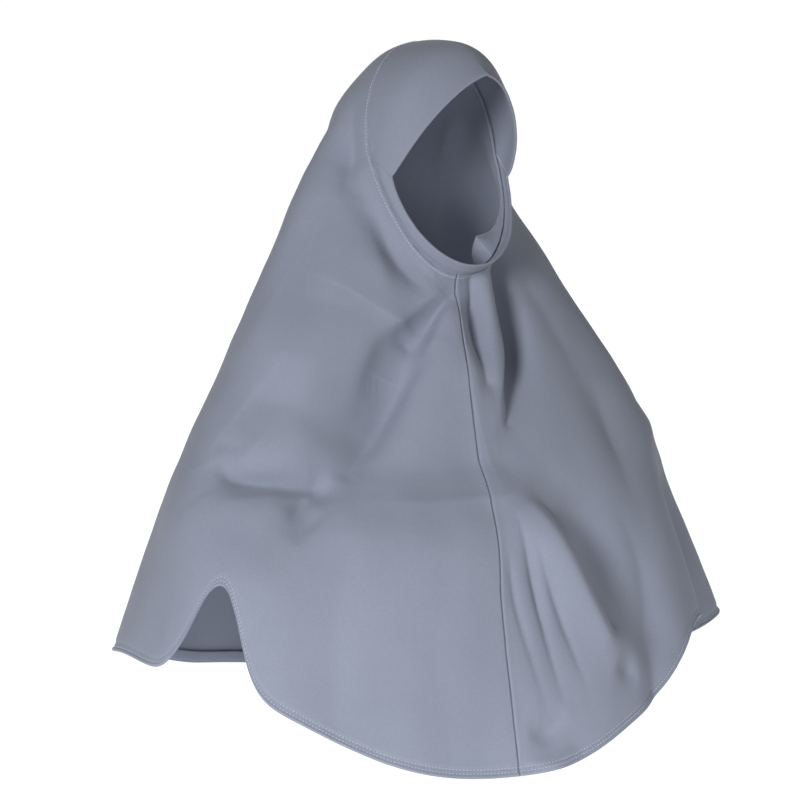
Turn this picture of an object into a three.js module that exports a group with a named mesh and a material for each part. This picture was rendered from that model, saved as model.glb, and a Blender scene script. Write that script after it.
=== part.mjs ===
// A pull-on hood and cape of smooth knit cloth, held in the shape that it takes when it is worn.
// Millimetres, +Z up. The wearer faces -Y, with the right hand towards -X.
// The origin is the inside of the crown.

import * as THREE from "three";

// Driving dimensions of the hood
const headHalfWidth = 80;
const browReach = 92;
const napeReach = 110;
const chinDrop = 238;
const headTurn = THREE.MathUtils.degToRad(13);
const turnStartsAt = -0.6 * chinDrop;
const turnEndsAt = -1.5 * chinDrop;

// Driving dimensions of the cape
const halfSpan = 324;
const frontReach = 208;
const backReach = 168;
const frontDrop = 700;
const sideDrop = 600;
const backDrop = 640;

// Driving dimensions of the cloth
const wall = 1.6;
const hemDepth = 12;
const seamGap = 0.3;
const foldDepth = 30;
const foldWidth = 40;
const hemLiftHeight = 90;

// How finely the cloth is divided
const columns = 72;
const capeRows = 27;
const panelRows = 6;
const chinColumns = 38;
const foldSteps = 40;
const foldFade = 0.6;
const frontCrowding = 0.3;

// How far to each side of a place, in rings and in shares of the half round, the surface's direction and
// lengths are taken
const nearRings = 0.02;
const nearRound = 0.004;

const clothColour = "#8d929f";

// Turns rows of numbers into objects with the columns' names.
function table(names, rows) {
  return rows.map((row) => Object.fromEntries(names.map((name, i) => [name, row[i]])));
}

// The sizes that a ring of the hood or of the cape is a share of
const hood = { wide: headHalfWidth, front: browReach, back: napeReach, low: [chinDrop, chinDrop, chinDrop] };
const body = { wide: halfSpan, front: frontReach, back: backReach, low: [frontDrop, sideDrop, backDrop] };

// The cloth's rings from the face's edge to the hem. Each goes round from the front, under the chin, over
// the side to the back, which for the first rings is the top of the head. Lengths are shares of the hood's
// or the cape's sizes. frontBox and backBox are 2 for an ellipse and more for a squarer round. A bow or a
// drop over 1 keeps the side's place or height for longer.
const ringColumns = [
  ...["of", "frontY", "frontZ", "sideX", "sideY", "sideZ", "backY", "backZ"],
  ...["frontBox", "backBox", "frontBow", "backBow", "drop"],
];
const rings = table(ringColumns, [
  [hood, -0.87, -0.925, 0.9, -0.36, -0.56, -1.0, -0.155, 2.0, 1.55, 1.3, 0.8, 1.0],
  [hood, -0.74, -0.95, 0.96, -0.2, -0.5, -0.5, -0.02, 2.0, 2.0, 1.2, 0.9, 1.0],
  [hood, -0.63, -0.965, 0.975, -0.04, -0.45, 0.15, 0.0, 2.0, 2.0, 1.0, 1.0, 1.0],
  [hood, -0.72, -1.08, 1.08, 0.1, -0.53, 0.5, -0.05, 2.0, 2.0, 1.0, 1.0, 1.0],
  [hood, -0.85, -1.24, 1.34, 0.14, -0.63, 0.8, -0.22, 2.0, 2.1, 1.0, 1.0, 1.0],
  [body, -0.44, -0.47, 0.43, 0.1, -0.32, 0.62, -0.19, 2.0, 2.2, 1.0, 1.0, 1.1],
  [body, -0.53, -0.55, 0.535, 0.09, -0.42, 0.7, -0.33, 2.1, 2.3, 1.0, 1.0, 1.3],
  [body, -0.66, -0.64, 0.65, 0.05, -0.55, 0.78, -0.49, 2.2, 2.4, 1.0, 1.0, 1.7],
  [body, -0.76, -0.73, 0.765, 0.03, -0.68, 0.86, -0.65, 2.3, 2.4, 1.0, 1.0, 2.2],
  [body, -0.87, -0.85, 0.89, 0.04, -0.84, 0.94, -0.82, 2.4, 2.5, 1.0, 1.0, 2.8],
  [body, -1.0, -1.0, 1.0, 0.04, -1.0, 1.0, -1.0, 2.5, 2.5, 1.0, 1.0, 3.4],
]);
const faceRing = 0;
const seamRing = 2;
const hemRing = rings.length - 1;

// A length forward or back, as a share of the reach on that side
function lengthwise(ring, share) {
  return share * (share < 0 ? ring.of.front : ring.of.back);
}

// The point of a ring at `around`, which is 0 at the front, 0.5 at the wearer's left, -0.5 at the right
// and 1 or -1 at the back
function ringPoint(ring, around) {
  const angle = around * Math.PI;
  const ahead = Math.cos(angle) > 0;
  const box = ahead ? ring.frontBox : ring.backBox;
  const bow = ahead ? ring.frontBow : ring.backBow;
  const across = Math.abs(Math.sin(angle));
  const along = Math.abs(Math.cos(angle));
  const radius = (across ** box + along ** box) ** (-1 / box);
  const share = radius * along;
  const [frontLow, sideLow, backLow] = ring.of.low;
  const endY = lengthwise(ring, ahead ? ring.frontY : ring.backY);
  const endZ = ahead ? ring.frontZ * frontLow : ring.backZ * backLow;
  return new THREE.Vector3(
    Math.sign(Math.sin(angle)) * radius * across * ring.sideX * ring.of.wide,
    THREE.MathUtils.lerp(lengthwise(ring, ring.sideY), endY, share ** bow),
    THREE.MathUtils.lerp(ring.sideZ * sideLow, endZ, share ** ring.drop),
  );
}

// The head is turned to the wearer's left, and the turn fades out between the chin and the shoulders.
function turned(point) {
  const fade = THREE.MathUtils.smoothstep(point.z, turnEndsAt, turnStartsAt);
  return point.applyAxisAngle(new THREE.Vector3(0, 0, 1), headTurn * fade);
}

// One line of the cloth from the face's edge to the hem
function rib(around) {
  const points = rings.map((ring) => turned(ringPoint(ring, around)));
  return new THREE.CatmullRomCurve3(points, false, "catmullrom", 0.5);
}

function onRib(line, down) {
  return line.getPoint(THREE.MathUtils.clamp(down / hemRing, 0, 1));
}

// The outward direction of a surface at a point, from its places a little to each side
function outward(surface, around, down) {
  const left = surface(around - nearRound, down);
  const right = surface(around + nearRound, down);
  const above = surface(around, down - nearRings);
  const below = surface(around, down + nearRings);
  return below.sub(above).cross(right.sub(left)).normalize();
}

function wrapped(around) {
  return around - 2 * Math.round(around / 2);
}

function smoothForm(around, down) {
  return onRib(rib(wrapped(around)), down);
}

// The cloth's main folds, each along a line through three places with its depth at each, out if above 0.
// Depths are shares of foldDepth and widths of foldWidth.
const folds = table(
  ["name", "around0", "down0", "deep0", "around1", "down1", "deep1", "around2", "down2", "deep2", "width"],
  [
    ["right forearm", -0.5, 7.8, 0.2, -0.42, 8.5, 0.5, -0.32, 8.9, 0.6, 1.3],
    ["right elbow crease", -0.4, 8.1, 0.0, -0.33, 7.9, -0.35, -0.26, 7.4, -0.15, 0.5],
    ["right wrist crease", -0.27, 8.3, 0.0, -0.26, 7.9, -0.25, -0.245, 7.6, -0.2, 0.4],
    ["hollow at the right arm", -0.29, 5.8, -0.15, -0.25, 6.6, -0.5, -0.24, 7.2, -0.4, 1.5],
    ["throat to right arm", -0.07, 2.6, -0.12, -0.145, 4.1, -0.45, -0.2, 6.2, -0.12, 0.5],
    ["under the right cheek", -0.5, 2.9, 0.0, -0.36, 2.95, -0.2, -0.2, 2.7, -0.15, 0.4],
    ["down the right shoulder", -0.56, 4.2, 0.0, -0.495, 5.0, -0.2, -0.43, 6.0, 0.0, 0.45],
    ["across the chest", -0.2, 7.2, -0.1, -0.05, 6.95, -0.35, 0.05, 6.95, -0.2, 0.8],
    ["beside the front seam", 0.04, 2.5, -0.1, 0.045, 3.6, -0.15, 0.037, 4.8, 0.0, 0.4],
    ["throat to left arm", 0.23, 2.6, -0.25, 0.17, 4.2, -0.5, 0.07, 5.9, 0.0, 0.5],
    ["left forearm", 0.05, 7.0, 0.2, 0.094, 8.0, 0.75, 0.127, 8.9, 0.35, 0.7],
    ["beside the left forearm", 0.12, 7.1, -0.2, 0.15, 8.2, -0.6, 0.18, 9.0, -0.3, 0.9],
    ["left front hollow", 0.33, 7.6, 0.0, 0.35, 9.0, -0.6, 0.36, 10.0, -1.2, 2.4],
    ["left side valley", 0.41, 7.6, 0.0, 0.415, 8.8, -0.7, 0.42, 10.0, -1.5, 1.15],
    ["left side flap", 0.52, 7.4, 0.0, 0.52, 8.6, 0.75, 0.52, 10.0, 1.35, 1.5],
    ["left back fold", 0.72, 6.0, 0.0, 0.74, 8.0, -0.25, 0.75, 10.0, -0.6, 1.2],
    ["middle back fold", 0.96, 5.5, 0.0, 0.95, 8.0, -0.3, 0.94, 10.0, -0.7, 1.3],
    ["right back fold", -0.8, 6.0, 0.0, -0.79, 8.0, -0.3, -0.78, 10.0, -0.65, 1.2],
  ],
);

// The line of a fold over the smooth cloth, with the fold's depth at each of its points
function foldLine(fold) {
  const places = [
    [fold.around0, fold.down0, fold.deep0],
    [fold.around1, fold.down1, fold.deep1],
    [fold.around2, fold.down2, fold.deep2],
  ];
  const route = new THREE.CatmullRomCurve3(places.map((place) => new THREE.Vector3(...place)));
  return route.getPoints(foldSteps).map(({ x, y, z }) => ({ place: smoothForm(x, y), deep: z }));
}
const foldLines = folds.map(foldLine);

// How far the folds carry a place of the smooth cloth outwards
function foldHeight(place) {
  return folds.reduce((height, fold, i) => {
    let nearest = Infinity;
    let deep = 0;
    for (const point of foldLines[i]) {
      const square = point.place.distanceToSquared(place);
      if (square < nearest) {
        nearest = square;
        deep = point.deep;
      }
    }
    return height + deep * foldDepth * Math.exp(-nearest / (fold.width * foldWidth) ** 2);
  }, 0);
}

// The cloth's inner face with its folds, which fade out at the seams round the face
function foldedForm(around, down) {
  const place = smoothForm(around, down);
  const fade = THREE.MathUtils.smoothstep(down, seamRing, seamRing + foldFade);
  if (fade === 0) return place;
  return place.addScaledVector(outward(smoothForm, around, down), fade * foldHeight(place));
}

// Where the hem is lifted, as over the right forearm, and by how much as a share of hemLiftHeight
const rises = table(
  ["name", "around", "halfWidth", "rise"],
  [
    ["at the right elbow", -0.5, 0.12, 0.09],
    ["over the right forearm", -0.318, 0.042, 1.05],
    ["beside the right forearm", -0.22, 0.09, 0.16],
    ["under the left forearm", 0.27, 0.12, 0.65],
    ["beside the left forearm", 0.12, 0.06, 0.14],
  ],
);

// The hem's place on a rib, in rings
function hemPlace(around) {
  const line = rib(around);
  const lastStep = onRib(line, hemRing).distanceTo(onRib(line, hemRing - 1));
  const lift = rises.reduce((sum, rise) => {
    const offset = (around - rise.around) / rise.halfWidth;
    return sum + rise.rise * hemLiftHeight * Math.exp(-(offset * offset));
  }, 0);
  return hemRing - lift / lastStep;
}

// A closed wall between two grids of points, whose rows go down and whose columns go round
function wallBetween(inner, outer, closedRound) {
  const rows = inner.length;
  const across = inner[0].length;
  const corners = [...outer.flat(), ...inner.flat()];
  const faces = [];
  const outerAt = (row, column) => row * across + (column % across);
  const innerAt = (row, column) => rows * across + outerAt(row, column);
  const apart = (a, b) => corners[a].distanceTo(corners[b]);
  const quad = (a, b, c, d) => {
    if (apart(a, c) < apart(b, d)) faces.push(a, b, c, a, c, d);
    else faces.push(a, b, d, b, c, d);
  };
  const steps = closedRound ? across : across - 1;
  for (let row = 0; row < rows - 1; row++) {
    for (let column = 0; column < steps; column++) {
      const next = column + 1;
      quad(outerAt(row, column), outerAt(row + 1, column), outerAt(row + 1, next), outerAt(row, next));
      quad(innerAt(row, column), innerAt(row, next), innerAt(row + 1, next), innerAt(row + 1, column));
    }
    if (!closedRound) {
      quad(outerAt(row, 0), innerAt(row, 0), innerAt(row + 1, 0), outerAt(row + 1, 0));
      quad(outerAt(row, steps), outerAt(row + 1, steps), innerAt(row + 1, steps), innerAt(row, steps));
    }
  }
  for (let column = 0; column < steps; column++) {
    const next = column + 1;
    const last = rows - 1;
    quad(outerAt(0, column), outerAt(0, next), innerAt(0, next), innerAt(0, column));
    quad(outerAt(last, column), innerAt(last, column), innerAt(last, next), outerAt(last, next));
  }
  const geometry = new THREE.BufferGeometry().setFromPoints(corners);
  geometry.setIndex(faces);
  geometry.computeVertexNormals();
  return geometry;
}

// A piece of the cloth between two heights over its inner face, on a grid of places
function clothWall(places, low, high, closedRound) {
  const lift = (height) =>
    places.map((row) =>
      row.map(([around, down]) =>
        foldedForm(around, down).addScaledVector(outward(foldedForm, around, down), height),
      ),
    );
  return wallBetween(lift(low), lift(high), closedRound);
}

// Shares from 0 to 1 in equal steps
function steps(count) {
  return Array.from({ length: count + 1 }, (_, i) => i / count);
}

// The places round the cape from the back over the wearer's right, closer together at the front. The face's
// panels are divided at the same places, so that their seams run alongside the cape's edge.
const roundCape = steps(columns).map((share) => {
  const around = 2 * share - 1;
  return around - (frontCrowding / Math.PI) * Math.sin(Math.PI * around);
});
const chinStart = (columns - chinColumns) / 2;
const chinEnd = chinStart + chinColumns;

// A length down a rib, in rings
function inRings(around, down, length) {
  const line = rib(around);
  const span = onRib(line, down - nearRings).distanceTo(onRib(line, down + nearRings));
  return (2 * nearRings * length) / span;
}

// A length round a ring, as a share of the half round
function inRound(around, down, length) {
  const before = smoothForm(around - nearRound, down);
  const after = smoothForm(around + nearRound, down);
  return (2 * nearRound * length) / before.distanceTo(after);
}

// The upper edge of the turned hem on a rib
function foldTop(around) {
  return hemPlace(around) - inRings(around, hemRing - nearRings, hemDepth);
}

function cape() {
  const round = roundCape.slice(0, columns);
  const places = steps(capeRows).map((share) =>
    round.map((around) => {
      const top = seamRing + inRings(around, seamRing + nearRings, seamGap / 2);
      return [around, THREE.MathUtils.lerp(top, foldTop(around), share)];
    }),
  );
  places.push(round.map((around) => [around, hemPlace(around)]));
  return clothWall(places, 0, wall, true);
}

function hemFold() {
  const round = roundCape.slice(0, columns);
  const places = [foldTop, hemPlace].map((edge) => round.map((around) => [around, edge(around)]));
  return clothWall(places, -seamGap - wall, -seamGap, true);
}

// A panel between the face's edge and the seam. The two panels meet at the cheeks with a gap between them.
function facePanel(round) {
  const last = round.length - 1;
  const places = steps(panelRows).map((share) =>
    round.map((around, i) => {
      const bottom = seamRing - inRings(around, seamRing - nearRings, seamGap / 2);
      const down = THREE.MathUtils.lerp(faceRing, bottom, share);
      const side = i === 0 ? 1 : i === last ? -1 : 0;
      return [around + inRound(around, down, (side * seamGap) / 2), down];
    }),
  );
  return clothWall(places, 0, wall, false);
}

function chinPanel() {
  return facePanel(roundCape.slice(chinStart, chinEnd + 1));
}

// The bonnet panel goes from the left cheek over the crown, where the round counts on past 1, to the right.
function bonnetPanel() {
  const left = roundCape.slice(chinEnd, columns);
  const right = roundCape.slice(0, chinStart + 1).map((around) => around + 2);
  return facePanel([...left, ...right]);
}

const cloth = new THREE.MeshStandardMaterial({
  color: clothColour,
  roughness: 0.85,
  metalness: 0,
  side: THREE.DoubleSide,
});

const hijab = new THREE.Group();
const pieces = {
  cape: cape(),
  bonnet_panel: bonnetPanel(),
  chin_panel: chinPanel(),
  hem_fold: hemFold(),
};
for (const [name, geometry] of Object.entries(pieces)) {
  const mesh = new THREE.Mesh(geometry, cloth);
  mesh.name = name;
  hijab.add(mesh);
}

export default hijab;
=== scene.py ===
# The looks of the pull-on hood and cape: its cloth, seams, hem, stitches, light and camera.
# Lengths are millimetres up to the point where a mesh is made, which is in metres.

import math

import bpy
import numpy as np
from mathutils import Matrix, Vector, noise


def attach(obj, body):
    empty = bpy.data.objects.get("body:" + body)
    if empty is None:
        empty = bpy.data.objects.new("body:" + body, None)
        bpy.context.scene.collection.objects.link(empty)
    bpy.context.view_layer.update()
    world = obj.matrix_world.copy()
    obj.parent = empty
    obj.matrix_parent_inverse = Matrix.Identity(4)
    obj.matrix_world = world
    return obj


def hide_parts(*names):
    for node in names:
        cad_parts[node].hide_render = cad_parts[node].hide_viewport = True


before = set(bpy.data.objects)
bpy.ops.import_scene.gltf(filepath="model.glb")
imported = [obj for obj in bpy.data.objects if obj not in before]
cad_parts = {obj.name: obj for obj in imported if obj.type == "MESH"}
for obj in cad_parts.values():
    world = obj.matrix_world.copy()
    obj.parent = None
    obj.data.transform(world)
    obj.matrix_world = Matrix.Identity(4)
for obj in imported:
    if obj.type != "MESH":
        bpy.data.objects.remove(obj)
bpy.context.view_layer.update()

MM = 0.001

# The CAD model's sizes, which this script repeats because it can't read the part's source
HEAD_HALF_WIDTH = 80
BROW_REACH = 92
NAPE_REACH = 110
CHIN_DROP = 238
HEAD_TURN = math.radians(13)
TURN_STARTS_AT = -0.6 * CHIN_DROP
TURN_ENDS_AT = -1.5 * CHIN_DROP
HALF_SPAN = 324
FRONT_REACH = 208
BACK_REACH = 168
FRONT_DROP = 700
SIDE_DROP = 600
BACK_DROP = 640
HEM_DEPTH = 12
FOLD_DEPTH = 30
FOLD_WIDTH = 40
HEM_RISE = 90
FOLD_STEPS = 40
FOLD_FADE = 0.6
NEAR_RINGS = 0.02
NEAR_ROUND = 0.004

HOOD = {"wide": HEAD_HALF_WIDTH, "front": BROW_REACH, "back": NAPE_REACH, "low": (CHIN_DROP,) * 3}
BODY = {
    "wide": HALF_SPAN,
    "front": FRONT_REACH,
    "back": BACK_REACH,
    "low": (FRONT_DROP, SIDE_DROP, BACK_DROP),
}


def table(names, rows):
    """Rows of numbers as dicts with the columns' names."""
    return [dict(zip(names.split(), row)) for row in rows]


RINGS = table(
    "of frontY frontZ sideX sideY sideZ backY backZ frontBox backBox frontBow backBow drop",
    [
        (HOOD, -0.87, -0.925, 0.9, -0.36, -0.56, -1.0, -0.155, 2.0, 1.55, 1.3, 0.8, 1.0),
        (HOOD, -0.74, -0.95, 0.96, -0.2, -0.5, -0.5, -0.02, 2.0, 2.0, 1.2, 0.9, 1.0),
        (HOOD, -0.63, -0.965, 0.975, -0.04, -0.45, 0.15, 0.0, 2.0, 2.0, 1.0, 1.0, 1.0),
        (HOOD, -0.72, -1.08, 1.08, 0.1, -0.53, 0.5, -0.05, 2.0, 2.0, 1.0, 1.0, 1.0),
        (HOOD, -0.85, -1.24, 1.34, 0.14, -0.63, 0.8, -0.22, 2.0, 2.1, 1.0, 1.0, 1.0),
        (BODY, -0.44, -0.47, 0.43, 0.1, -0.32, 0.62, -0.19, 2.0, 2.2, 1.0, 1.0, 1.1),
        (BODY, -0.53, -0.55, 0.535, 0.09, -0.42, 0.7, -0.33, 2.1, 2.3, 1.0, 1.0, 1.3),
        (BODY, -0.66, -0.64, 0.65, 0.05, -0.55, 0.78, -0.49, 2.2, 2.4, 1.0, 1.0, 1.7),
        (BODY, -0.76, -0.73, 0.765, 0.03, -0.68, 0.86, -0.65, 2.3, 2.4, 1.0, 1.0, 2.2),
        (BODY, -0.87, -0.85, 0.89, 0.04, -0.84, 0.94, -0.82, 2.4, 2.5, 1.0, 1.0, 2.8),
        (BODY, -1.0, -1.0, 1.0, 0.04, -1.0, 1.0, -1.0, 2.5, 2.5, 1.0, 1.0, 3.4),
    ],
)
SEAM_RING = 2
HEM_RING = len(RINGS) - 1

# The main folds of the solids: depths are shares of FOLD_DEPTH and widths of FOLD_WIDTH
MAIN_FOLDS = table(
    "name around0 down0 deep0 around1 down1 deep1 around2 down2 deep2 width",
    [
        ("right forearm", -0.5, 7.8, 0.2, -0.42, 8.5, 0.5, -0.32, 8.9, 0.6, 1.3),
        ("right elbow crease", -0.4, 8.1, 0.0, -0.33, 7.9, -0.35, -0.26, 7.4, -0.15, 0.5),
        ("right wrist crease", -0.27, 8.3, 0.0, -0.26, 7.9, -0.25, -0.245, 7.6, -0.2, 0.4),
        ("hollow at the right arm", -0.29, 5.8, -0.15, -0.25, 6.6, -0.5, -0.24, 7.2, -0.4, 1.5),
        ("throat to right arm", -0.07, 2.6, -0.12, -0.145, 4.1, -0.45, -0.2, 6.2, -0.12, 0.5),
        ("under the right cheek", -0.5, 2.9, 0.0, -0.36, 2.95, -0.2, -0.2, 2.7, -0.15, 0.4),
        ("down the right shoulder", -0.56, 4.2, 0.0, -0.495, 5.0, -0.2, -0.43, 6.0, 0.0, 0.45),
        ("across the chest", -0.2, 7.2, -0.1, -0.05, 6.95, -0.35, 0.05, 6.95, -0.2, 0.8),
        ("beside the front seam", 0.04, 2.5, -0.1, 0.045, 3.6, -0.15, 0.037, 4.8, 0.0, 0.4),
        ("throat to left arm", 0.23, 2.6, -0.25, 0.17, 4.2, -0.5, 0.07, 5.9, 0.0, 0.5),
        ("left forearm", 0.05, 7.0, 0.2, 0.094, 8.0, 0.75, 0.127, 8.9, 0.35, 0.7),
        ("beside the left forearm", 0.12, 7.1, -0.2, 0.15, 8.2, -0.6, 0.18, 9.0, -0.3, 0.9),
        ("left front hollow", 0.33, 7.6, 0.0, 0.35, 9.0, -0.6, 0.36, 10.0, -1.2, 2.4),
        ("left side valley", 0.41, 7.6, 0.0, 0.415, 8.8, -0.7, 0.42, 10.0, -1.5, 1.15),
        ("left side flap", 0.52, 7.4, 0.0, 0.52, 8.6, 0.75, 0.52, 10.0, 1.35, 1.5),
        ("left back fold", 0.72, 6.0, 0.0, 0.74, 8.0, -0.25, 0.75, 10.0, -0.6, 1.2),
        ("middle back fold", 0.96, 5.5, 0.0, 0.95, 8.0, -0.3, 0.94, 10.0, -0.7, 1.3),
        ("right back fold", -0.8, 6.0, 0.0, -0.79, 8.0, -0.3, -0.78, 10.0, -0.65, 1.2),
    ],
)

# Where the hem is lifted, by a share of HEM_RISE
RISES = table(
    "name around halfWidth rise",
    [
        ("at the right elbow", -0.5, 0.12, 0.09),
        ("over the right forearm", -0.318, 0.042, 1.05),
        ("beside the right forearm", -0.22, 0.09, 0.16),
        ("under the left forearm", 0.27, 0.12, 0.65),
        ("beside the left forearm", 0.12, 0.06, 0.14),
    ],
)

# Finer folds, creases and tucks of the cloth. Depths are in units of FINE_FOLD_DEPTH millimetres, and the
# cloth rises where one is above 0. Widths are millimetres. leftWidth is the width on the side that lies to
# the left when one looks from the first place towards the last, seen from outside. round is the radius at
# the fold's bottom or crest.
FINE_FOLD_DEPTH = 1.4
FINE_FOLDS = table(
    "name around0 down0 deep0 around1 down1 deep1 around2 down2 deep2 leftWidth rightWidth round",
    [
        ("throat crease", -0.035, 2.7, -4, -0.1, 3.4, -10, -0.15, 4.3, -7, 7, 14, 1.5),
        ("throat lip", -0.06, 2.6, 1, -0.13, 3.2, 5, -0.2, 4.2, 3, 12, 7, 6),
        ("second throat lip", -0.03, 2.8, 0, -0.075, 3.4, 5, -0.12, 4.4, 2, 8, 10, 4),
        ("right upper arm", -0.36, 5.2, 4, -0.315, 6.1, 11, -0.3, 6.9, 10, 44, 60, 24),
        ("long crease to the arm", -0.14, 4.0, -8, -0.172, 5.6, -26, -0.215, 6.9, -14, 24, 44, 4),
        ("cheek fold", -0.4, 2.8, 0, -0.29, 3.1, -5, -0.17, 3.0, -2, 9, 16, 3),
        ("lower cheek fold", -0.42, 3.3, 0, -0.32, 3.6, 4, -0.24, 3.9, 0, 14, 18, 6),
        ("behind the temple", -0.63, 2.9, -2, -0.53, 3.05, -6, -0.5, 3.5, -3, 10, 16, 3),
        ("right shoulder fold", -0.52, 4.2, 0, -0.44, 5.2, -5, -0.37, 6.2, 0, 24, 30, 8),
        ("upper arm crease", -0.41, 7.0, -1, -0.37, 6.9, -4, -0.3, 6.6, -3, 18, 30, 8),
        ("upper sleeve crease", -0.43, 7.75, 0, -0.4, 7.7, -2, -0.365, 7.6, 0, 8, 14, 3),
        ("elbow crease", -0.41, 7.86, 0, -0.34, 7.88, -8, -0.255, 7.44, -7, 14, 9, 2),
        ("elbow lip", -0.39, 8.15, 0, -0.325, 8.1, 3, -0.26, 7.62, 3, 5, 26, 5),
        ("wrist crease", -0.243, 7.45, -3, -0.261, 7.72, -5, -0.279, 8.1, 0, 6, 14, 3),
        ("wrist fold", -0.228, 7.7, -1, -0.244, 7.98, -3, -0.257, 8.3, 0, 5, 12, 3),
        ("chest shelf", -0.19, 7.25, 4, -0.03, 6.9, 13, 0.048, 6.93, 8, 50, 100, 3),
        ("above the chest shelf", -0.17, 6.7, -6, -0.03, 6.4, -14, 0.02, 6.35, -9, 40, 32, 12),
        ("left of the seam", 0.0, 3.4, 1, 0.01, 4.6, 3, 0.012, 5.8, 1, 8, 12, 4),
        ("band beside the seam", 0.062, 2.4, -7, 0.06, 3.6, -14, 0.046, 5.1, -6, 9, 11, 2),
        ("ridge beside the band", 0.12, 2.6, 2, 0.1, 3.6, 4, 0.065, 5.0, 2, 9, 10, 4),
        ("neck valley lip", 0.2, 2.4, 3, 0.14, 4.0, 5, 0.06, 5.6, 2, 7, 14, 2),
        ("neck valley", 0.235, 2.25, -18, 0.17, 4.0, -20, 0.075, 5.8, -6, 30, 6, 1.5),
        ("left shoulder fold", 0.34, 3.6, 0, 0.3, 5.2, -5, 0.26, 6.6, -2, 34, 22, 8),
        ("left elbow fold", 0.3, 6.2, 0, 0.27, 6.9, -5, 0.24, 7.6, -2, 24, 16, 6),
        ("forearm edge", 0.06, 7.2, 2, 0.09, 8.2, 4, 0.115, 8.9, 4, 5, 14, 1.5),
        ("under the forearm", 0.085, 7.2, -4, 0.11, 8.15, -9, 0.13, 8.8, -7, 36, 7, 1.5),
        ("first drop crease", 0.012, 7.7, 0, 0.014, 8.4, -3, 0.037, 9.6, 0, 4, 5, 0.6),
        ("second drop crease", 0.037, 7.3, -1, 0.041, 8.3, -5, 0.055, 9.5, 0, 4, 5, 0.6),
        ("third drop crease", 0.053, 7.7, -1, 0.064, 8.45, -4, 0.084, 9.4, 0, 4, 5, 0.6),
        ("hand dent", 0.12, 9.2, 0, 0.135, 9.3, -5, 0.15, 9.4, 0, 12, 12, 3),
        ("hem flip", 0.0, 9.88, 0, 0.03, 9.93, 6, 0.06, 9.8, 0, 7, 12, 3),
        ("above the hem flip", 0.01, 9.62, 0, 0.03, 9.66, -6, 0.055, 9.5, 0, 9, 9, 3),
        ("front panel edge", 0.335, 8.1, 0, 0.35, 8.8, 4, 0.345, 9.9, 8, 12, 50, 3),
        ("behind the front panel", 0.38, 8.1, -1, 0.387, 8.9, -15, 0.387, 9.9, -21, 32, 13, 3),
        ("left front fold", 0.2, 7.6, 0, 0.21, 8.6, -7, 0.17, 9.6, -11, 36, 20, 5),
        ("right front drape", -0.2, 7.9, 0, -0.19, 8.7, -4, -0.18, 9.7, -6, 40, 30, 10),
        ("middle front drape", -0.09, 7.8, 0, -0.085, 8.7, -3, -0.07, 9.8, -5, 36, 36, 12),
        ("nape fold", -0.72, 3.4, 0, -0.78, 4.6, -6, -0.82, 6.0, -1, 16, 12, 3),
        ("left nape fold", 0.7, 3.4, 0, 0.78, 4.6, -6, 0.84, 6.0, -1, 12, 16, 3),
        ("middle nape fold", 0.99, 3.6, 0, 0.985, 4.8, -6, 0.97, 6.2, -1, 14, 14, 3),
    ],
)

# How the edges and seams are sewn
CLOTH_HEIGHT = 1.2
SEAM_GAP = 0.3
SEAM_ALLOWANCE = 5
SEAM_TUCK = 1.8
FACE_SEAM_DEPTH = 2.6
FACE_SEAM_WIDTH = 1.4
PANEL_SEAM_DEPTH = 2.0
PANEL_SEAM_WIDTH = 1.3
CENTRE_SEAM_DEPTH = 2.4
CENTRE_SEAM_WIDTH = 0.75
EDGE_RADIUS = 1.3
BONNET_TURN = 7
CHIN_TURN = 5
BROW_LAP = 1.6
HEM_RADIUS = 1.5
STITCH_LINES = (4.5, 8.5)
HEM_GROOVE_DEPTH = 1.3
HEM_GROOVE_WIDTH = 1.1
FACE_STITCH_LINE = 3.2
STITCH_LENGTH = 2.5
STITCH_PITCH = 3.5
THREAD_RADIUS = 0.5

# Where the centre front seam runs: shares round at rings down
CENTRE_SEAM = [(2.0, -0.022), (3.0, -0.012), (4.5, -0.006), (6.9, 0.004), (8.3, -0.005), (10.0, -0.003)]


def lengthwise(ring, share):
    return share * (ring["of"]["front"] if share < 0 else ring["of"]["back"])


def smoothstep(value, low, high):
    share = np.clip((value - low) / (high - low), 0, 1)
    return share * share * (3 - 2 * share)


def turned(places):
    """The head's turn to the wearer's left, which fades out between the chin and the shoulders"""
    angle = HEAD_TURN * smoothstep(places[..., 2], TURN_ENDS_AT, TURN_STARTS_AT)
    x, y, z = np.moveaxis(places, -1, 0)
    cos, sin = np.cos(angle), np.sin(angle)
    return np.stack([x * cos - y * sin, x * sin + y * cos, z], -1)


def ring_places(around):
    """The place of every ring at each share round, as the CAD model has it"""
    sin, cos = np.sin(around * np.pi), np.cos(around * np.pi)
    ahead = cos > 0
    across, along = np.abs(sin), np.abs(cos)
    places = []
    for ring in RINGS:
        wide = ring["of"]["wide"]
        front_low, side_low, back_low = ring["of"]["low"]
        box = np.where(ahead, ring["frontBox"], ring["backBox"])
        bow = np.where(ahead, ring["frontBow"], ring["backBow"])
        radius = (across**box + along**box) ** (-1 / box)
        share = radius * along
        side_y = lengthwise(ring, ring["sideY"])
        end_y = np.where(ahead, lengthwise(ring, ring["frontY"]), lengthwise(ring, ring["backY"]))
        side_z = ring["sideZ"] * side_low
        end_z = np.where(ahead, ring["frontZ"] * front_low, ring["backZ"] * back_low)
        x = np.sign(sin) * radius * across * ring["sideX"] * wide
        y = side_y + (end_y - side_y) * share**bow
        z = side_z + (end_z - side_z) * share ** ring["drop"]
        places.append(turned(np.stack([x, y, z], -1)))
    return np.stack(places)


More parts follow.
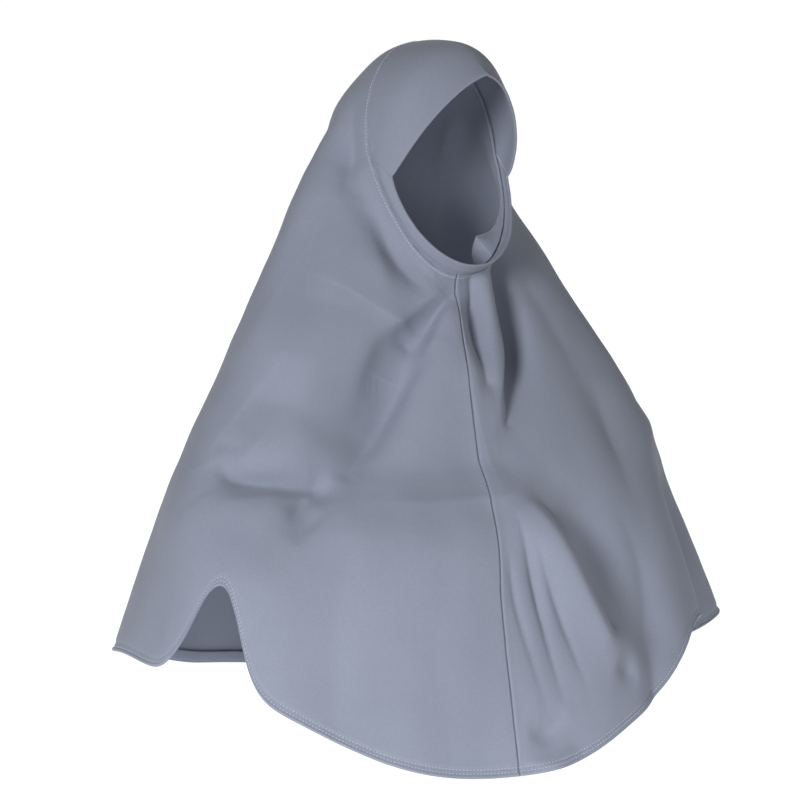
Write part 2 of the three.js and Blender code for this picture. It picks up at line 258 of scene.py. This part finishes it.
def along_ribs(places, down):
    """Places on the smooth lines through the rings' places"""
    before = 2 * places[:1] - places[1:2]
    after = 2 * places[-1:] - places[-2:-1]
    knots = np.concatenate([before, places, after])
    down = np.clip(down, 0, HEM_RING)
    step = np.minimum(down.astype(int), HEM_RING - 1)
    share = (down - step)[..., None]
    grid = np.indices(down.shape)
    p0, p1, p2, p3 = (knots[(step + i, *grid)] for i in range(4))
    v1, v2 = (p2 - p0) / 2, (p3 - p1) / 2
    cubic = 2 * p1 - 2 * p2 + v1 + v2
    square = -3 * p1 + 3 * p2 - 2 * v1 - v2
    return ((cubic * share + square) * share + v1) * share + p1


def smooth_form(around, down):
    wrapped = around - 2 * np.round(around / 2)
    return along_ribs(ring_places(wrapped), down)


def unit(vectors):
    return vectors / np.maximum(np.linalg.norm(vectors, axis=-1, keepdims=True), 1e-9)


def outward(surface, around, down):
    right = surface(around + NEAR_ROUND, down) - surface(around - NEAR_ROUND, down)
    below = surface(around, down + NEAR_RINGS) - surface(around, down - NEAR_RINGS)
    return unit(np.cross(below, right))


def fold_line(fold):
    """Points along a fold over the smooth cloth, and its depth at each"""
    ends = np.array([[fold[f"around{i}"], fold[f"down{i}"], fold[f"deep{i}"]] for i in range(3)])
    knots = np.concatenate([[2 * ends[0] - ends[1]], ends, [2 * ends[2] - ends[1]]])
    line = []
    for step in range(2):
        share = np.linspace(0, 1, FOLD_STEPS // 2 + 1)[:, None]
        p0, p1, p2, p3 = knots[step : step + 4]
        gaps = [np.linalg.norm(b - a) ** 0.5 for a, b in ((p0, p1), (p1, p2), (p2, p3))]
        v1 = ((p1 - p0) / gaps[0] - (p2 - p0) / (gaps[0] + gaps[1]) + (p2 - p1) / gaps[1]) * gaps[1]
        v2 = ((p2 - p1) / gaps[1] - (p3 - p1) / (gaps[1] + gaps[2]) + (p3 - p2) / gaps[2]) * gaps[1]
        cubic = 2 * p1 - 2 * p2 + v1 + v2
        square = -3 * p1 + 3 * p2 - 2 * v1 - v2
        line.append(((cubic * share + square) * share + v1) * share + p1)
    line = np.concatenate([line[0], line[1][1:]])
    around, down, deep = line.T
    return smooth_form(around, down), outward(smooth_form, around, down), deep


# A fold has faded out at this many widths from its line, and a fine one begins at the face's seam and is full
# this far down in rings
FOLD_REACH = 4.5
FINE_FOLD_FADE = 0.25


def add_fold(height, places, line, left_width, right_width, scale, crest=None):
    """Adds a fold's height at each place, from its nearest point on the fold's line

    Its section is a smooth bell, or where `crest` gives a radius, a crease as sharp as that.
    """
    points, normals, deep = line
    reach = FOLD_REACH * max(left_width, right_width)
    near = np.all((places > points.min(0) - reach) & (places < points.max(0) + reach), axis=-1)
    if not near.any():
        return
    there = places[near]
    best = np.full(len(there), np.inf)
    amount = np.zeros(len(there))
    side = np.zeros(len(there))
    for i in range(len(points) - 1):
        start, along = points[i], points[i + 1] - points[i]
        share = np.clip((there - start) @ along / (along @ along), 0, 1)
        off = there - start - share[:, None] * along
        square = np.einsum("ij,ij->i", off, off)
        closer = square < best
        best[closer] = square[closer]
        amount[closer] = (deep[i] + (deep[i + 1] - deep[i]) * share)[closer]
        side[closer] = (off @ unit(np.cross(normals[i], along)))[closer]
    # Past the fold's ends one side's width goes over into the other's
    leftness = side / np.maximum(np.sqrt(best), 1e-9)
    width = (left_width + right_width) / 2 + leftness * (left_width - right_width) / 2
    if crest is None:
        share = best / width**2
    else:
        share = (np.sqrt(best + crest**2) - crest) / width
    cut = math.exp(-FOLD_REACH)
    height[near] += scale * amount * np.maximum(np.exp(-share) - cut, 0) / (1 - cut)


MAIN_LINES = [fold_line(fold) for fold in MAIN_FOLDS]
FINE_LINES = [fold_line(fold) for fold in FINE_FOLDS]


def folded_form(around, down):
    """The inner face of the CAD model's cloth"""
    place = smooth_form(around, down)
    height = np.zeros(place.shape[:-1])
    for fold, line in zip(MAIN_FOLDS, MAIN_LINES):
        width = fold["width"] * FOLD_WIDTH
        add_fold(height, place, line, width, width, FOLD_DEPTH)
    fade = smoothstep(down, SEAM_RING, SEAM_RING + FOLD_FADE)
    return place + outward(smooth_form, around, down) * (fade * height)[..., None]


def hem_place(around):
    """The hem's place on a rib, in rings"""
    around = around - 2 * np.round(around / 2)
    ends = ring_places(around)
    last = along_ribs(ends, np.full(around.shape, float(HEM_RING)))
    before = along_ribs(ends, np.full(around.shape, HEM_RING - 1.0))
    step = np.linalg.norm(last - before, axis=-1)
    lift = 0
    for rise in RISES:
        away = (around - rise["around"]) / rise["halfWidth"]
        lift = lift + rise["rise"] * HEM_RISE * np.exp(-(away**2))
    return HEM_RING - lift / step


def per_ring(around, down):
    """Millimetres to one ring down"""
    above = smooth_form(around, down - NEAR_RINGS)
    below = smooth_form(around, down + NEAR_RINGS)
    span = np.clip(down + NEAR_RINGS, 0, HEM_RING) - np.clip(down - NEAR_RINGS, 0, HEM_RING)
    return np.linalg.norm(below - above, axis=-1) / span


def per_round(around, down):
    """Millimetres to one half round"""
    before = smooth_form(around - NEAR_ROUND, down)
    after = smooth_form(around + NEAR_ROUND, down)
    return np.linalg.norm(after - before, axis=-1) / (2 * NEAR_ROUND)


def seam_around(down):
    rings, shares = zip(*CENTRE_SEAM)
    return np.interp(down, rings, shares)


# Drape folds are about three times as long down the cloth as they are wide
DOWNWARD_STRETCH = np.array([1, 1, 0.33])


def waves(places, size, seed):
    """Smooth noise from -1 to 1, with bumps about `size` millimetres across"""
    shift = Vector((17.0 * seed, 5.0 * seed, 11.0 * seed))
    flat = places.reshape(-1, 3)
    made = [noise.noise(Vector(place) / size + shift) for place in flat]
    return np.array(made).reshape(places.shape[:-1])


def groove(distance, depth, width):
    """A seam's or a stitch line's smooth groove, at a distance from its middle"""
    return -depth * np.exp(-((distance / width) ** 2))


def fading(distance, length):
    return np.exp(-np.abs(distance) / length)


def cape_relief(around, down, place):
    """How far the cape's cloth stands out from the CAD model's, from folds, seams and hem"""
    height = np.zeros(down.shape)
    for fold, line in zip(FINE_FOLDS, FINE_LINES):
        add_fold(height, place, line, fold["leftWidth"], fold["rightWidth"], FINE_FOLD_DEPTH, fold["round"])
    height *= smoothstep(down, SEAM_RING, SEAM_RING + FINE_FOLD_FADE)
    height += 2.2 * waves(place * DOWNWARD_STRETCH, 48, 1) * smoothstep(down, 2.5, 4.5)
    height += 0.5 * waves(place, 26, 2)
    # The face seam, with its small puckers
    from_seam = (down - SEAM_RING) * per_ring(around, np.full(down.shape, SEAM_RING + NEAR_RINGS))
    pucker = waves(place, 7, 3)
    height += groove(from_seam, FACE_SEAM_DEPTH, FACE_SEAM_WIDTH) + 0.9 * pucker * fading(from_seam, 8)
    height -= SEAM_TUCK * smoothstep(-from_seam, 0, SEAM_ALLOWANCE)
    # The centre front seam
    from_centre = (around - seam_around(down)) * per_round(around, down)
    height += groove(from_centre, CENTRE_SEAM_DEPTH, CENTRE_SEAM_WIDTH) - groove(from_centre - 3, 0.25, 2.4)
    height += 0.35 * waves(place, 9, 4) * fading(from_centre, 7)
    # The turned hem, which ropes a little along its stitches
    from_hem = (hem_place(around) - down) * per_ring(around, np.minimum(down, HEM_RING - NEAR_RINGS))
    for stitch_line in STITCH_LINES:
        height += groove(from_hem - stitch_line, HEM_GROOVE_DEPTH, HEM_GROOVE_WIDTH)
    height -= groove(from_hem - 2.5, 0.9, 2.2)
    height += 0.6 * waves(place, 16, 5) * fading(from_hem - 5, 8)
    return height


def grid_normals(places, closed):
    """Outward directions of a grid of places, whose rows go down and whose columns go round"""
    if closed:
        round_step = np.roll(places, -1, 1) - np.roll(places, 1, 1)
    else:
        round_step = np.gradient(places, axis=1)
    return unit(np.cross(np.gradient(places, axis=0), round_step))


def cloth_places(around, down, height, relief, closed):
    """A sheet's places at a height over the CAD model's inner face"""
    base = folded_form(around, down)
    lift = height + relief(around, down, smooth_form(around, down))
    return base + grid_normals(base, closed) * lift[..., None]


def add_mesh(name, places, closed, material):
    """A sheet's mesh, with a UV map of the lengths round and down its cloth, in metres"""
    rows, columns = places.shape[:2]
    steps = columns if closed else columns - 1
    row, column = np.meshgrid(np.arange(rows - 1), np.arange(steps), indexing="ij")
    after = (column + 1) % columns
    here, below = row * columns, (row + 1) * columns
    quads = np.stack([here + column, below + column, below + after, here + after], -1).reshape(-1, 4)
    mesh = bpy.data.meshes.new(name)
    mesh.from_pydata((places.reshape(-1, 3) * MM).tolist(), [], quads.tolist())
    wide = np.concatenate([places, places[:, :1]], 1) if closed else places
    u = np.cumsum(np.linalg.norm(np.diff(wide, axis=1), axis=-1), 1)
    u = np.concatenate([np.zeros((rows, 1)), u], 1)
    u -= u[:, wide.shape[1] // 2, None]
    v = np.cumsum(np.linalg.norm(np.diff(wide, axis=0), axis=-1), 0)
    v = np.concatenate([np.zeros((1, wide.shape[1])), v], 0)
    lengths = np.stack([u, v], -1) * MM
    steps_round = ((0, 0), (1, 0), (1, 1), (0, 1))
    corners = np.stack([lengths[row + lower, column + further] for lower, further in steps_round], 2)
    uv = mesh.uv_layers.new(name="Lengths")
    uv.data.foreach_set("uv", corners.astype(np.float32).ravel())
    mesh.polygons.foreach_set("use_smooth", np.ones(len(quads), bool))
    mesh.materials.append(material)
    piece = bpy.data.objects.new(name, mesh)
    bpy.context.scene.collection.objects.link(piece)
    return piece


def growing(limit, first, usual, growth=1.25):
    """Steps from 0 to limit that grow from a first one to a usual one, which may depend on the place"""
    places = [0.0]
    step = first
    while places[-1] + step < limit:
        places.append(places[-1] + step)
        step = min(step * growth, usual(places[-1]))
    return np.array(places + [limit])


def clamp_share(value):
    return min(max(value, 0.0), 1.0)


def cape_columns():
    """Shares round from the back over the wearer's right, close together at the front seam"""
    half = growing(1.0, 0.0005, lambda at: 0.0026 + 0.0055 * clamp_share((at - 0.3) / 0.4))
    return np.concatenate([-half[::-1], half[1:-1]])


def cape_rows():
    """Shares of the way from the face seam to the hem, close together at both"""
    start = growing(0.5, 0.001, lambda at: 0.0054)
    end = 1 - growing(0.5, 0.0016, lambda at: 0.0054, 1.1)[::-1]
    return np.concatenate([start, end[1:]])


# The columns within about this share round of the front follow the centre seam, which isn't quite straight
SEAM_FOLLOW = 0.3


def beside_seam(around, down):
    return around + seam_around(down) * np.exp(-((around / SEAM_FOLLOW) ** 2))


def make_cape(material):
    columns, rows = cape_columns(), cape_rows()
    around, share = np.meshgrid(columns, rows)
    top = SEAM_RING - SEAM_ALLOWANCE / per_ring(around, np.full(around.shape, SEAM_RING - NEAR_RINGS))
    around = beside_seam(around, top + (HEM_RING - top) * share)
    hem = hem_place(around)
    edge = hem - HEM_RADIUS / per_ring(around, np.full(around.shape, HEM_RING - NEAR_RINGS))
    down = top + (edge - top) * share
    places = cloth_places(around, down, CLOTH_HEIGHT, cape_relief, True)
    return add_mesh("cape_cloth", places, True, material)


def edge_profile(radius, depth, steps=6):
    """A turned edge: pairs of length from the edge and height, from the outside round to the inside"""
    angles = np.linspace(0, np.pi, steps + 1)
    bend = [(radius - radius * math.sin(angle), radius * math.cos(angle)) for angle in angles]
    inside = [(length, -radius) for length in np.linspace(radius, depth, 5)[1:]]
    return bend + inside


def make_hem(material):
    """The hem's rounded edge and the cloth turned up behind it"""
    around = cape_columns()
    around = beside_seam(around, np.full(around.shape, float(HEM_RING)))
    hem = hem_place(around)
    scale = per_ring(around, np.full(around.shape, HEM_RING - NEAR_RINGS))
    profile = edge_profile(HEM_RADIUS, HEM_DEPTH)
    down = np.array([hem - length / scale for length, height in profile])
    lift = np.array([np.full(around.shape, height) for length, height in profile])
    round_all = np.broadcast_to(around, down.shape)
    base = folded_form(round_all, down)
    normals = outward(folded_form, around, down[0])
    relief = cape_relief(round_all, down, smooth_form(round_all, down))
    places = base + normals[None] * (CLOTH_HEIGHT - HEM_RADIUS + lift + relief)[..., None]
    return add_mesh("hem_fold_cloth", places, True, material)


def panel_relief(chin):
    def relief(around, down, place):
        scale = per_ring(around, np.full(down.shape, SEAM_RING - NEAR_RINGS))
        from_seam = (SEAM_RING - down) * scale
        height = 0.3 * waves(place, 20, 6)
        height += groove(from_seam, PANEL_SEAM_DEPTH, PANEL_SEAM_WIDTH)
        height += 0.7 * waves(place, 7, 7) * np.exp(-from_seam / 7)
        if not chin:
            # At the brow's peak the right side laps over the left
            from_peak = (around - 1) * per_round(around, np.maximum(down, NEAR_RINGS))
            near_edge = np.exp(-((down * scale / 14) ** 2))
            height += BROW_LAP * smoothstep(from_peak, -0.8, 0.8) * fading(from_peak, 12) * near_edge
        return height

    return relief


def make_panel(name, start, end, columns, chin, material):
    """A panel between the face's edge and the seam, from the inside of its turned edge to the seam"""
    around = np.linspace(start, end, columns)
    edge_scale = per_ring(around, np.full(around.shape, NEAR_RINGS))
    rows = []
    for length, height in reversed(edge_profile(EDGE_RADIUS, CHIN_TURN if chin else BONNET_TURN)):
        rows.append((length / edge_scale, np.full(around.shape, CLOTH_HEIGHT - EDGE_RADIUS + height)))
    seam = SEAM_RING - SEAM_GAP / 2 / per_ring(around, np.full(around.shape, SEAM_RING - NEAR_RINGS))
    first = EDGE_RADIUS / edge_scale
    shares = growing(1.0, 0.02, lambda at: 0.03)[1:]
    shares = np.concatenate([shares[shares < 0.9], [0.93, 0.95, 0.965, 0.98, 0.99, 1.0]])
    for share in shares:
        rows.append((first + (seam - first) * share, np.full(around.shape, CLOTH_HEIGHT)))
    down = np.array([row[0] for row in rows])
    lift = np.array([row[1] for row in rows])
    round_all = np.broadcast_to(around, down.shape).copy()
    offset = SEAM_GAP / 2 / per_round(round_all, down)
    across = np.linspace(-1, 1, columns)
    round_all -= offset * across**15
    base = smooth_form(round_all, down)
    normals = outward(smooth_form, round_all, np.maximum(down, NEAR_RINGS))
    relief = panel_relief(chin)(round_all, down, base)
    places = base + normals * (lift + relief)[..., None]
    return add_mesh(name, places, False, material)


# A stitch is a thread with this many sides, bent at this many places along it
THREAD_SIDES = 5
THREAD_PLACES = 5


def make_stitches(name, around, down, material):
    """Stitches along a line of places: short threads whose ends go into the cloth"""
    base = folded_form(around, down)
    normals = outward(folded_form, around, down)
    relief = cape_relief(around, down, smooth_form(around, down))
    line = base + normals * (CLOTH_HEIGHT + relief)[..., None]
    lengths = np.concatenate([[0], np.cumsum(np.linalg.norm(np.diff(line, axis=0), axis=-1))])
    shares = np.linspace(0, 1, THREAD_PLACES)
    rise = 1.5 * np.sin(np.pi * shares) - 0.8
    vertices, faces = [], []
    for stitch in range(int(lengths[-1] // STITCH_PITCH)):
        at = stitch * STITCH_PITCH + shares * STITCH_LENGTH
        middle = np.stack([np.interp(at, lengths, line[:, i]) for i in range(3)], -1)
        up = unit(np.stack([np.interp(at, lengths, normals[:, i]) for i in range(3)], -1))
        middle = middle + up * (THREAD_RADIUS * rise)[:, None]
        along = unit(np.gradient(middle, axis=0))
        side = unit(np.cross(up, along))
        first = len(vertices)
        for turn in range(THREAD_SIDES):
            angle = 2 * math.pi * turn / THREAD_SIDES
            edge = middle + THREAD_RADIUS * (math.cos(angle) * side + math.sin(angle) * up)
            vertices.extend(edge.tolist())
        starts = [first + turn * THREAD_PLACES for turn in range(THREAD_SIDES)]
        for turn, start in enumerate(starts):
            after = starts[(turn + 1) % THREAD_SIDES]
            for step in range(THREAD_PLACES - 1):
                faces.append((start + step, start + step + 1, after + step + 1, after + step))
        faces.append(starts)
        faces.append([start + THREAD_PLACES - 1 for start in reversed(starts)])
    mesh = bpy.data.meshes.new(name)
    mesh.from_pydata((np.array(vertices) * MM).tolist(), [], faces)
    mesh.polygons.foreach_set("use_smooth", np.ones(len(faces), bool))
    mesh.materials.append(material)
    piece = bpy.data.objects.new(name, mesh)
    bpy.context.scene.collection.objects.link(piece)
    return piece


# The knit's stitches, in metres
WALE_WIDTH = 0.0011
COURSE_HEIGHT = 0.0008


def cloth_material(name, colour, darker):
    """Smooth matte knit: fine wales and courses from the UV map, and slight unevenness of colour"""
    material = bpy.data.materials.new(name)
    material.use_nodes = True
    nodes, links = material.node_tree.nodes, material.node_tree.links
    shader = nodes["Principled BSDF"]
    shader.inputs["Roughness"].default_value = 0.85
    shader.inputs["Sheen Weight"].default_value = 0.12
    shader.inputs["Sheen Roughness"].default_value = 0.5
    shader.inputs["Specular IOR Level"].default_value = 0.25

    coordinates = nodes.new("ShaderNodeTexCoord")
    broad = nodes.new("ShaderNodeTexNoise")
    broad.inputs["Scale"].default_value = 9
    broad.inputs["Detail"].default_value = 3
    links.new(coordinates.outputs["Object"], broad.inputs["Vector"])
    ramp = nodes.new("ShaderNodeValToRGB")
    ramp.color_ramp.elements[0].position = 0.3
    ramp.color_ramp.elements[0].color = (*darker, 1)
    ramp.color_ramp.elements[1].position = 0.7
    ramp.color_ramp.elements[1].color = (*colour, 1)
    links.new(broad.outputs["Fac"], ramp.inputs["Fac"])
    fine = nodes.new("ShaderNodeTexNoise")
    fine.inputs["Scale"].default_value = 420
    fine.inputs["Detail"].default_value = 4
    links.new(coordinates.outputs["Object"], fine.inputs["Vector"])
    fine_ramp = nodes.new("ShaderNodeValToRGB")
    fine_ramp.color_ramp.elements[0].position = 0.3
    fine_ramp.color_ramp.elements[0].color = (0.93, 0.93, 0.935, 1)
    fine_ramp.color_ramp.elements[1].position = 0.7
    fine_ramp.color_ramp.elements[1].color = (1.0, 1.0, 1.0, 1)
    links.new(fine.outputs["Fac"], fine_ramp.inputs["Fac"])
    mottled = nodes.new("ShaderNodeMix")
    mottled.data_type = "RGBA"
    mottled.blend_type = "MULTIPLY"
    mottled.inputs["Factor"].default_value = 1.0
    links.new(ramp.outputs["Color"], mottled.inputs[6])
    links.new(fine_ramp.outputs["Color"], mottled.inputs[7])
    links.new(mottled.outputs[2], shader.inputs["Base Color"])

    uv = nodes.new("ShaderNodeUVMap")
    uv.uv_map = "Lengths"
    apart = nodes.new("ShaderNodeSeparateXYZ")
    links.new(uv.outputs["UV"], apart.inputs["Vector"])

    def math_node(operation, first, second=None):
        node = nodes.new("ShaderNodeMath")
        node.operation = operation
        for i, value in enumerate((first, second)):
            if value is None:
                continue
            if isinstance(value, (int, float)):
                node.inputs[i].default_value = value
            else:
                links.new(value, node.inputs[i])
        return node.outputs[0]

    wale = math_node("SINE", math_node("MULTIPLY", apart.outputs["X"], 2 * math.pi / WALE_WIDTH))
    course = math_node("SINE", math_node("MULTIPLY", apart.outputs["Y"], 2 * math.pi / COURSE_HEIGHT))
    knit = math_node("ADD", wale, math_node("MULTIPLY", course, 0.6))
    grain = nodes.new("ShaderNodeTexNoise")
    grain.inputs["Scale"].default_value = 1100
    grain.inputs["Detail"].default_value = 2
    links.new(coordinates.outputs["Object"], grain.inputs["Vector"])
    relief = math_node("ADD", math_node("MULTIPLY", knit, 0.25), grain.outputs["Fac"])
    bump = nodes.new("ShaderNodeBump")
    bump.inputs["Strength"].default_value = 0.35
    bump.inputs["Distance"].default_value = 0.00012
    links.new(relief, bump.inputs["Height"])
    links.new(bump.outputs["Normal"], shader.inputs["Normal"])
    return material


def plain_material(name, colour, roughness):
    material = bpy.data.materials.new(name)
    material.use_nodes = True
    shader = material.node_tree.nodes["Principled BSDF"]
    shader.inputs["Base Color"].default_value = (*colour, 1)
    shader.inputs["Roughness"].default_value = roughness
    return material


cloth = cloth_material("slate_knit", (0.255, 0.281, 0.356), (0.233, 0.258, 0.328))
thread = plain_material("slate_thread", (0.42, 0.45, 0.53), 0.6)

cape = make_cape(cloth)
hem = make_hem(cloth)
bonnet = make_panel("bonnet_cloth", 1 - 0.51, 1 + 0.51, 360, False, cloth)
chin = make_panel("chin_band_cloth", -0.49, 0.49, 300, True, cloth)

stitch_around = np.linspace(-1, 1, 900)
stitch_scale = per_ring(stitch_around, np.full(stitch_around.shape, HEM_RING - NEAR_RINGS))
stitches = [
    make_stitches(
        f"hem_stitches_{row + 1}",
        stitch_around,
        hem_place(stitch_around) - stitch_line / stitch_scale,
        thread,
    )
    for row, stitch_line in enumerate(STITCH_LINES)
]

face_around = np.linspace(-1, 1, 700)
face_scale = per_ring(face_around, np.full(face_around.shape, SEAM_RING + NEAR_RINGS))
face_stitches = make_stitches(
    "face_seam_stitches",
    face_around,
    SEAM_RING + FACE_STITCH_LINE / face_scale,
    thread,
)
stitches.append(face_stitches)

for piece, node in ((cape, "cape"), (hem, "hem_fold"), (bonnet, "bonnet_panel"), (chin, "chin_panel")):
    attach(piece, "root")
    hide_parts(node)
for stitch_row in stitches:
    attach(stitch_row, "root")

# The camera looks from a little to the wearer's right, slightly from above
CAMERA_AZIMUTH = math.radians(-25)
CAMERA_ELEVATION = math.radians(4)
CAMERA_DISTANCE = 3.0
back = Vector(
    (
        math.sin(CAMERA_AZIMUTH) * math.cos(CAMERA_ELEVATION),
        -math.cos(CAMERA_AZIMUTH) * math.cos(CAMERA_ELEVATION),
        math.sin(CAMERA_ELEVATION),
    )
)
right = Vector((math.cos(CAMERA_AZIMUTH), math.sin(CAMERA_AZIMUTH), 0))
above = back.cross(right)
aim = Vector((0, 0, -0.37))
camera_data = bpy.data.cameras.new("camera")
camera_data.lens = 135
camera_data.sensor_width = 36
camera = bpy.data.objects.new("camera", camera_data)
bpy.context.scene.collection.objects.link(camera)
camera.location = aim + back * CAMERA_DISTANCE
look_at = aim - right * 0.030 + above * 0.014
camera.rotation_mode = "QUATERNION"
camera.rotation_quaternion = (look_at - camera.location).to_track_quat("-Z", "Y")
bpy.context.scene.camera = camera

# A plain pale studio: a round of floor under the hem, which throws light up, and a floor and wall all round
FLOOR_BELOW = 0.715
FLOOR_RADIUS = 0.7
STUDIO_RADIUS = 20
STUDIO_SIDES = 64


def circle(radius, z):
    turns = [2 * math.pi * i / STUDIO_SIDES for i in range(STUDIO_SIDES)]
    return [(radius * math.cos(turn), radius * math.sin(turn), z) for turn in turns]


def studio_piece(name, circles, material):
    """Bands between circles, or the round inside one circle alone"""
    sides = range(STUDIO_SIDES)
    faces = [
        (a + i, a + (i + 1) % STUDIO_SIDES, a + STUDIO_SIDES + (i + 1) % STUDIO_SIDES, a + STUDIO_SIDES + i)
        for a in range(0, STUDIO_SIDES * (len(circles) - 1), STUDIO_SIDES)
        for i in sides
    ]
    mesh = bpy.data.meshes.new(name)
    mesh.from_pydata(sum(circles, []), [], faces or [tuple(sides)])
    mesh.materials.append(material)
    piece = bpy.data.objects.new(name, mesh)
    bpy.context.scene.collection.objects.link(piece)
    return piece


def studio_material(name, colour, glow):
    material = plain_material(name, (colour,) * 3, 0.9)
    shader = material.node_tree.nodes["Principled BSDF"]
    shader.inputs["Emission Color"].default_value = (1, 1, 1, 1)
    shader.inputs["Emission Strength"].default_value = glow
    return material


studio_piece("floor", [circle(FLOOR_RADIUS, -FLOOR_BELOW)], studio_material("pale_floor", 0.3, 1.0))
around_floor = [
    circle(FLOOR_RADIUS, -FLOOR_BELOW),
    circle(STUDIO_RADIUS, -FLOOR_BELOW),
    circle(STUDIO_RADIUS, STUDIO_RADIUS),
]
backdrop = studio_piece("backdrop", around_floor, studio_material("pale_backdrop", 0.0, 1.0))
backdrop.visible_diffuse = False


def area_light(name, azimuth, elevation, distance, size, power):
    """A round soft light at an angle round the object, which counts as the camera's do"""
    turn, rise = math.radians(azimuth), math.radians(elevation)
    toward = Vector((math.sin(turn) * math.cos(rise), -math.cos(turn) * math.cos(rise), math.sin(rise)))
    data = bpy.data.lights.new(name, "AREA")
    data.shape = "DISK"
    data.size = size
    data.energy = power
    light = bpy.data.objects.new(name, data)
    light.location = aim + toward * distance
    light.rotation_mode = "QUATERNION"
    light.rotation_quaternion = (-toward).to_track_quat("-Z", "Y")
    bpy.context.scene.collection.objects.link(light)


area_light("key_light", -50, 9, 2.6, 0.8, 54)
area_light("fill_light", 66, 28, 2.6, 0.9, 13)
area_light("low_front_light", -12, -7, 1.4, 0.5, 3)

world = bpy.data.worlds.new("studio")
world.use_nodes = True
world.node_tree.nodes["Background"].inputs["Color"].default_value = (1, 1, 1, 1)
world.node_tree.nodes["Background"].inputs["Strength"].default_value = 0.04
bpy.context.scene.world = world
bpy.context.scene.view_settings.view_transform = "Standard"
